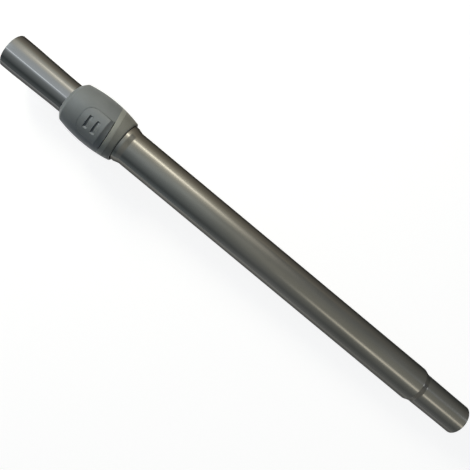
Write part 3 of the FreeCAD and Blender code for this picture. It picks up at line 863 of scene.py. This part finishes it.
make_outer_tube()
make_inner_tube()
make_rear_ring()
make_trim_band()
make_collar_shell()
make_latch_button()
make_return_spring()
dress_hidden_nodes()

# Camera, at the photograph's viewing angle, in metres as the rest of the studio is

ROLL = math.radians(39.7)
BUTTON_TURN = math.radians(15.0)
SOCKET_NEARER = 0.04
FOOT = Vector((0.325, 0, 0))
DISTANCE = 0.5125
LENS, SENSOR, SHIFT_X, SHIFT_Y = 40.06, 36.0, 0.0582, -0.048
across_view = Vector((0, -math.sin(BUTTON_TURN), math.cos(BUTTON_TURN)))
to_camera = (Vector((1, 0, 0)) * SOCKET_NEARER + across_view * math.sqrt(1 - SOCKET_NEARER ** 2)).normalized()
along_wand = (Vector((-1, 0, 0)) + to_camera * to_camera.x).normalized()
over_wand = to_camera.cross(along_wand)


def facing(place, right, up, back):
    """A matrix with the given place and axes."""
    axes = Matrix((right, up, back)).transposed()
    return Matrix.Translation(place) @ axes.to_4x4()


def add_camera():
    """Camera with the photograph's lens and framing."""
    data = bpy.data.cameras.new("photo_camera")
    data.lens = LENS
    data.sensor_width = SENSOR
    data.shift_x = SHIFT_X
    data.shift_y = SHIFT_Y
    right = along_wand * math.cos(ROLL) + over_wand * math.sin(ROLL)
    up = over_wand * math.cos(ROLL) - along_wand * math.sin(ROLL)
    camera = add_object("photo_camera", data)
    camera.matrix_world = facing(FOOT + to_camera * DISTANCE, right, up, to_camera)
    bpy.context.scene.camera = camera


# Floor, surroundings and lights

FILL = 0.14
FILL_TONE = (0.82, 0.94, 1.05)
FLOOR_TONE = 0.35
FLOOR_GLOW = 0.87
FLOOR_REACH, FLOOR_CLEARANCE, OVER_FLOOR = 4.0, 0.0002, 0.001
AIM = Vector((0.46, 0, 0))
KEY_DISTANCE = 1.2
WARM = (1.0, 0.945, 0.82)
COOL = (0.93, 0.97, 1.0)
ICE = (0.8, 0.92, 1.0)
AMBER = (1.0, 0.94, 0.75)

# What the tubes mirror, painted onto the glossy-only tent as a reflection: degrees from the camera's
# direction, and a tone
TENT_LOW, TENT_HIGH, TENT_START, TENT_END = -108, 140, -3.2, 1.8
TENT_BEYOND_SPIGOT = (
    (-103, (0.42, 0.42, 0.4)),
    (0, (0.45, 0.43, 0.38)),
    (50, (0.26, 0.27, 0.28)),
    (140, (0.12, 0.13, 0.14)),
)
TENT_AT_SPIGOT = (
    (-103, (0.54, 0.565, 0.57)),
    (-70, (0.3, 0.315, 0.32)),
    (-30, (0.6, 0.61, 0.57)),
    (0, (0.8, 0.79, 0.7)),
    (50, (0.5, 0.51, 0.49)),
    (90, (0.38, 0.37, 0.34)),
    (140, (0.22, 0.24, 0.24)),
)
TENT_AT_MOUTH = (
    (-103, (0.42, 0.48, 0.51)),
    (-70, (0.17, 0.2, 0.215)),
    (-26, (0.6, 0.66, 0.68)),
    (0, (1.05, 1.12, 1.12)),
    (70, (1.35, 1.26, 1.02)),
    (96, (0.68, 0.61, 0.5)),
    (140, (0.28, 0.25, 0.22)),
)
TENT_AT_SOCKET = (
    (-103, (0.36, 0.4, 0.41)),
    (-70, (0.17, 0.195, 0.2)),
    (-26, (0.7, 0.75, 0.76)),
    (-12, (1.58, 1.68, 1.78)),
    (30, (1.52, 1.58, 1.57)),
    (60, (1.55, 1.5, 1.3)),
    (96, (0.52, 0.53, 0.44)),
    (140, (0.1, 0.1, 0.09)),
)
# Where each further grade fades in along the wand
TENT_FADES = (
    (TENT_AT_SPIGOT, -1.5, -0.8),
    (TENT_AT_MOUTH, 0.0, 0.45),
    (TENT_AT_SOCKET, 0.64, 0.76),
)
# The Mix node's sockets for colours
MIX_SHARE, MIX_FIRST, MIX_SECOND, MIX_RESULT = 0, 6, 7, 2


def towards(degrees):
    """A direction square to the wand: degrees from the camera towards the picture's upper side."""
    angle = math.radians(degrees)
    direction = to_camera * math.cos(angle) + over_wand * math.sin(angle)
    return (direction - Vector((direction.x, 0, 0))).normalized()


def floor_plane():
    """The floor's upward normal and a point of it: the collar and the spigot's shoulder rest on it."""
    tilt = math.atan2(CROWN_RADIUS - OUTER_RADIUS, CROWN_PLACE - TUBE_START)
    normal = Vector((math.sin(tilt), 0, math.cos(tilt)))
    return normal, Vector((TUBE_START * MM, 0, 0)) - normal * (OUTER_RADIUS * MM + FLOOR_CLEARANCE)


def to_floor(direction):
    """How far it is from the wand's middle to just above the floor, in a direction square to the axis."""
    normal, touch = floor_plane()
    level = 0.001
    height = (FOOT - touch).dot(normal) - OVER_FLOOR
    fall = -direction.dot(normal)
    return height / fall if fall > level else math.inf


def bare_tree(owner):
    """The emptied node tree of a material or world."""
    owner.use_nodes = True
    owner.node_tree.nodes.clear()
    return owner.node_tree


def seen_rays(tree):
    """1 for camera, glossy and transmission rays, 0 for the rest."""
    path = add_node(tree, "LightPath").outputs
    seen = reckon(tree, "MAXIMUM", path["Is Camera Ray"], path["Is Glossy Ray"])
    return reckon(tree, "MAXIMUM", seen, path["Is Transmission Ray"])


def add_floor():
    """Pale floor under the wand; it looks white and keeps the shadow."""
    normal, touch = floor_plane()
    side = Vector((0, FLOOR_REACH, 0))
    ends = side.cross(normal)
    corners = [touch - ends - side, touch + ends - side, touch + ends + side, touch - ends + side]
    mesh = bpy.data.meshes.new("studio_floor")
    mesh.from_pydata(corners, [], [(0, 1, 2, 3)])
    material = bpy.data.materials.new("studio_floor")
    mesh.materials.append(material)
    tree = bare_tree(material)
    matt = add_node(tree, "BsdfDiffuse", Color=(FLOOR_TONE, FLOOR_TONE, FLOOR_TONE, 1)).outputs[0]
    glow = add_node(tree, "Emission", Color=(1, 1, 1, 1), Strength=FLOOR_GLOW).outputs[0]
    both = add_node(tree, "AddShader", matt, glow).outputs[0]
    shown = add_node(tree, "MixShader", seen_rays(tree), matt, both).outputs[0]
    add_node(tree, "OutputMaterial", Surface=shown)
    add_object("studio_floor", mesh)


def add_world():
    """White studio surroundings, which light the wand only softly."""
    world = bpy.data.worlds.new("white_studio")
    tree = bare_tree(world)
    fill = add_node(tree, "Background", Color=(*FILL_TONE, 1), Strength=FILL).outputs[0]
    white = add_node(tree, "Background", Color=(1, 1, 1, 1), Strength=1.0).outputs[0]
    shown = add_node(tree, "MixShader", seen_rays(tree), fill, white).outputs[0]
    add_node(tree, "OutputWorld", Surface=shown)
    bpy.context.scene.world = world


def add_key(name, degrees, lean, size, radiance, tone):
    """A round lamp, leaning towards the socket; it lights the mouldings and isn't mirrored as a shape."""
    direction = towards(degrees)
    lean = math.radians(lean)
    aim = direction * math.cos(lean) + Vector((1, 0, 0)) * math.sin(lean)
    data = bpy.data.lights.new(name, "AREA")
    data.shape = "DISK"
    data.size = size
    data.energy = radiance * math.pi * math.pi * size ** 2 / 4
    data.color = tone
    lamp = add_object(name, data)
    side = aim.cross(direction).normalized()
    lamp.matrix_world = facing(AIM + aim * KEY_DISTANCE, side, aim.cross(side), aim)
    lamp.visible_glossy = False


def bent_sheet(name, distance, low, high, start, end):
    """A staged sheet bent about the wand between two angles, charted along it (X) and round it (Y).

    Only mirrored rays meet it, as a tent and cards beside a shiny tube only show in its sheen; its glow is a
    painted reflection and lights nothing.
    Returns its material's node tree and the chart's outputs.
    """
    rounds = 96
    points = []
    normal, touch = floor_plane()
    for step in range(rounds + 1):
        direction = towards(low + (high - low) * step / rounds)
        for place in (start, end):
            point = Vector((place, 0, 0)) + direction * min(distance, to_floor(direction))
            sunk = OVER_FLOOR - (point - touch).dot(normal)
            points.append(point + normal * max(sunk, 0))
    mesh = bpy.data.meshes.new(name)
    mesh.from_pydata(points, [], [(2 * i, 2 * i + 1, 2 * i + 3, 2 * i + 2) for i in range(rounds)])
    chart = mesh.uv_layers.new(name="along_and_round")
    for loop in mesh.loops:
        step, side = divmod(loop.vertex_index, 2)
        chart.data[loop.index].uv = (side, step / rounds)
    sheet = add_object(name, mesh)
    sheet.visible_camera = False
    sheet.visible_diffuse = False
    sheet.visible_shadow = False
    material = bpy.data.materials.new(name)
    mesh.materials.append(material)
    tree = bare_tree(material)
    return tree, add_node(tree, "SeparateXYZ", add_node(tree, "TexCoord").outputs["UV"]).outputs


def add_card(name, degrees, width, distance, start, end, radiance, tone, soft_ends):
    """A narrow glowing card along the wand that fades out on all sides: a painted highlight, seen only in
    reflections.
    """
    tree, chart = bent_sheet(name, distance, degrees - width / 2, degrees + width / 2, start, end)
    middle = 0.5
    masks = []
    for axis, fade in (("X", soft_ends), ("Y", middle)):
        from_edge = reckon(tree, "PINGPONG", chart[axis], middle)
        masks.append(soft_step(tree, from_edge, 0.0, fade))
    clear = add_node(tree, "BsdfTransparent").outputs[0]
    glow = add_node(tree, "Emission", Color=(*tone, 1), Strength=radiance).outputs[0]
    shown = add_node(tree, "MixShader", reckon(tree, "MULTIPLY", *masks), clear, glow).outputs[0]
    add_node(tree, "OutputMaterial", Surface=shown)


def tent_grade(tree, chart, stops):
    """The tent's tones round the wand, from stops of degrees and tones."""
    grade = add_node(tree, "ValToRGB", Fac=chart["Y"])
    ramp = grade.color_ramp
    while len(ramp.elements) < len(stops):
        ramp.elements.new(0.5)
    for element, (degrees, tone) in zip(ramp.elements, stops):
        element.position = (degrees - TENT_LOW) / (TENT_HIGH - TENT_LOW)
        element.color = (*tone, 1)
    return grade.outputs["Color"]


def add_tent():
    """Graded tent over the wand and down behind it, a painted reflection in the tubes: light above, dim
    below, and dimmer towards the spigot.
    """
    tree, chart = bent_sheet("graded_tent", 1.0, TENT_LOW, TENT_HIGH, TENT_START, TENT_END)
    reach = TENT_END - TENT_START
    shown = tent_grade(tree, chart, TENT_BEYOND_SPIGOT)
    for stops, *fade in TENT_FADES:
        along = soft_step(tree, chart["X"], *((place - TENT_START) / reach for place in fade))
        mixed = add_node(tree, "Mix")
        mixed.data_type = "RGBA"
        feed(tree, mixed.inputs[MIX_SHARE], along)
        feed(tree, mixed.inputs[MIX_FIRST], shown)
        feed(tree, mixed.inputs[MIX_SECOND], tent_grade(tree, chart, stops))
        shown = mixed.outputs[MIX_RESULT]
    glow = add_node(tree, "Emission", Color=shown, Strength=1.0).outputs[0]
    add_node(tree, "OutputMaterial", Surface=glow)


add_camera()
add_floor()
add_world()
add_tent()
# Painted highlights and sheen: glowing cards that only the tubes and mouldings mirror
add_card("window_glow", 47, 54, 0.8, -0.02, 1.1, 2.3, WARM, 0.35)
add_card("window_light", 50, 18, 0.75, 0.2, 0.84, 7.7, WARM, 0.45)
add_card("window_light_far", 51, 13, 0.7, 0.66, 0.785, 3.0, WARM, 0.15)
add_card("low_light", -18.5, 22, 0.75, -0.85, 0.08, 2.9, WARM, 0.3)
add_card("second_light", 34, 22, 0.75, -0.8, -0.2, 0.85, COOL, 0.4)
add_card("end_light", 38, 18, 0.75, -1.1, -0.62, 9.0, COOL, 0.3)
add_card("line_light", -11.5, 8, 0.75, 0.68, 1.1, 3.6, COOL, 0.1)
add_card("nose_sheen", 13, 48, 0.75, 0.95, 1.75, 10.0, ICE, 0.3)
add_key("warm_key", 36, 44, 0.4, 23.5, AMBER)
add_key("cool_key", 24, 62, 0.35, 9.6, ICE)

bpy.context.scene.view_settings.view_transform = "Standard"
